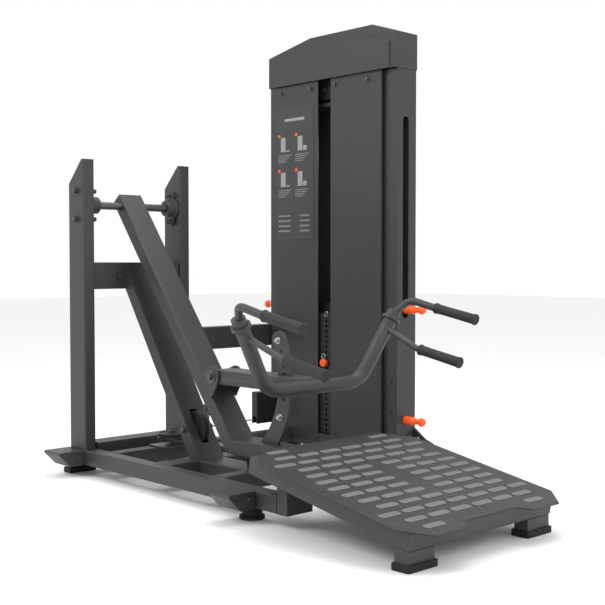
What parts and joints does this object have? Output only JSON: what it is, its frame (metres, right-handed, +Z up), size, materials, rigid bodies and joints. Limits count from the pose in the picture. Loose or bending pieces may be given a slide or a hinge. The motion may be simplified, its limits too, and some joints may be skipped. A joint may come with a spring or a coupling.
{
  "type": "standing lift machine",
  "caption": "Gym machine with a pendulum arm and forked grips over a sloping tread platform, lifting a selectorised weight stack in a side tower.",
  "frame": {"origin": "on the floor, under the centre of the bounding box", "axes": "+X along the machine to the front of the platform, +Y across to the weight tower, +Z up"},
  "size_m": [1.9234, 1.2448, 1.78],
  "materials": {
    "frame_coat": "satin charcoal powder coat",
    "black_rubber": "matte moulded rubber",
    "black_plastic": "matte moulded nylon",
    "cable_black": "black jacket over steel rope",
    "orange_plastic": "bright orange moulded plastic",
    "zinc_steel": "zinc plated steel",
    "dark_steel": "dark coated steel",
    "plate_iron": "black coated iron plates",
    "tread_grey": "light grey anti-slip inserts",
    "grip_rubber": "charcoal rubber sleeves",
    "placard_grey": "plain grey placard"
  },
  "bodies": {
    "base": {"rails": "frame_coat", "outriggers": "frame_coat", "rear_base_beam": "frame_coat", "link_beam": "frame_coat", "floor_pads": "black_rubber", "uprights": "frame_coat", "upper_cross_beam": "frame_coat", "brace": "frame_coat", "tie_beam": "frame_coat", "bearing_housings": "frame_coat", "stop_post": "black_rubber", "platform_posts": "frame_coat", "platform_frame": "frame_coat", "leg_caps": "black_rubber", "deck": "frame_coat", "tread_inserts": "tread_grey", "deck_screws": "dark_steel", "frame_bolts": "dark_steel", "tower_frame": "frame_coat", "panel_rear": "frame_coat", "panel_front": "frame_coat", "side_wall_rear": "frame_coat", "side_wall_front": "frame_coat", "back_panel": "frame_coat", "tower_cap": "frame_coat", "placard": "placard_grey", "guide_rods": "zinc_steel", "stack_bumpers": "frame_coat", "resting_plates": "plate_iron", "lower_peg": "orange_plastic", "flat_pulley_pin": "frame_coat", "pulley_cover": "black_plastic", "arm_cable": "cable_black", "tower_cable": "cable_black", "stack_cable": "cable_black"},
    "pendulum": {"axle": "dark_steel", "arm": "frame_coat", "foot_beam": "frame_coat", "sector": "frame_coat", "sector_bolts": "zinc_steel", "lever_bracket": "frame_coat", "cable_anchor": "frame_coat", "pivot_bolt": "dark_steel"},
    "handle": {"lever": "frame_coat", "u_bar": "frame_coat", "collars": "frame_coat", "grip_stems": "frame_coat", "grips": "grip_rubber"},
    "stack": {"head_plate": "frame_coat", "lifted_plates": "plate_iron", "upper_pegs": "orange_plastic", "lanyard": "cable_black"},
    "selector": {"selector_pin": "orange_plastic", "selector_ring": "zinc_steel"},
    "lock_pin": {"lock_pin": "dark_steel"},
    "brace_pulley": {"brace_pulley": "black_plastic"},
    "flat_pulley": {"flat_pulley": "black_plastic"},
    "tower_pulley": {"tower_pulley": "black_plastic"},
    "top_pulley_rear": {"top_pulley_rear": "black_plastic"},
    "top_pulley_front": {"top_pulley_front": "black_plastic"}
  },
  "joints": [
    {"name": "pendulum_swing", "type": "hinge", "parent": "base", "child": "pendulum", "pos_m": [-0.87166, -0.2115, 1.053], "axis": [0, -1, 0], "range_deg": [0, 35], "deforming": ["arm_cable"]},
    {"name": "handle_angle", "type": "hinge", "parent": "pendulum", "child": "handle", "pos_m": [-0.28266, -0.2115, 0.416], "axis": [0, -1, 0], "range_deg": [-9.4, 18.8]},
    {"name": "lock_pin_push", "type": "slide", "parent": "handle", "child": "lock_pin", "axis": [0, 1, 0], "range_m": [0, 0.02]},
    {"name": "stack_lift", "type": "slide", "parent": "base", "child": "stack", "axis": [0, 0, 1], "range_m": [0, 0.6], "deforming": ["stack_cable"]},
    {"name": "selector_pull", "type": "slide", "parent": "stack", "child": "selector", "axis": [0, -1, 0], "range_m": [0, 0.06], "deforming": ["lanyard"]},
    {"name": "brace_pulley_spin", "type": "hinge", "parent": "base", "child": "brace_pulley", "pos_m": [-0.4473, -0.2115, 0.205], "axis": [0, 1, 0], "continuous": true},
    {"name": "flat_pulley_spin", "type": "hinge", "parent": "base", "child": "flat_pulley", "pos_m": [-0.68266, -0.1555, 0.142], "axis": [0, 0, 1], "continuous": true},
    {"name": "tower_pulley_spin", "type": "hinge", "parent": "base", "child": "tower_pulley", "pos_m": [-0.80466, 0.4615, 0.194], "axis": [1, 0, 0], "continuous": true},
    {"name": "top_pulley_rear_spin", "type": "hinge", "parent": "base", "child": "top_pulley_rear", "pos_m": [-0.76291, 0.5181, 1.562], "axis": [-0.1094, 0.994, 0], "continuous": true},
    {"name": "top_pulley_front_spin", "type": "hinge", "parent": "base", "child": "top_pulley_front", "pos_m": [-0.51941, 0.5449, 1.562], "axis": [-0.1094, 0.994, 0], "continuous": true}
  ],
  "couplings": [
    {"joint": "stack_lift", "follows": "pendulum_swing", "m_per_rad": 0.95}
  ]
}
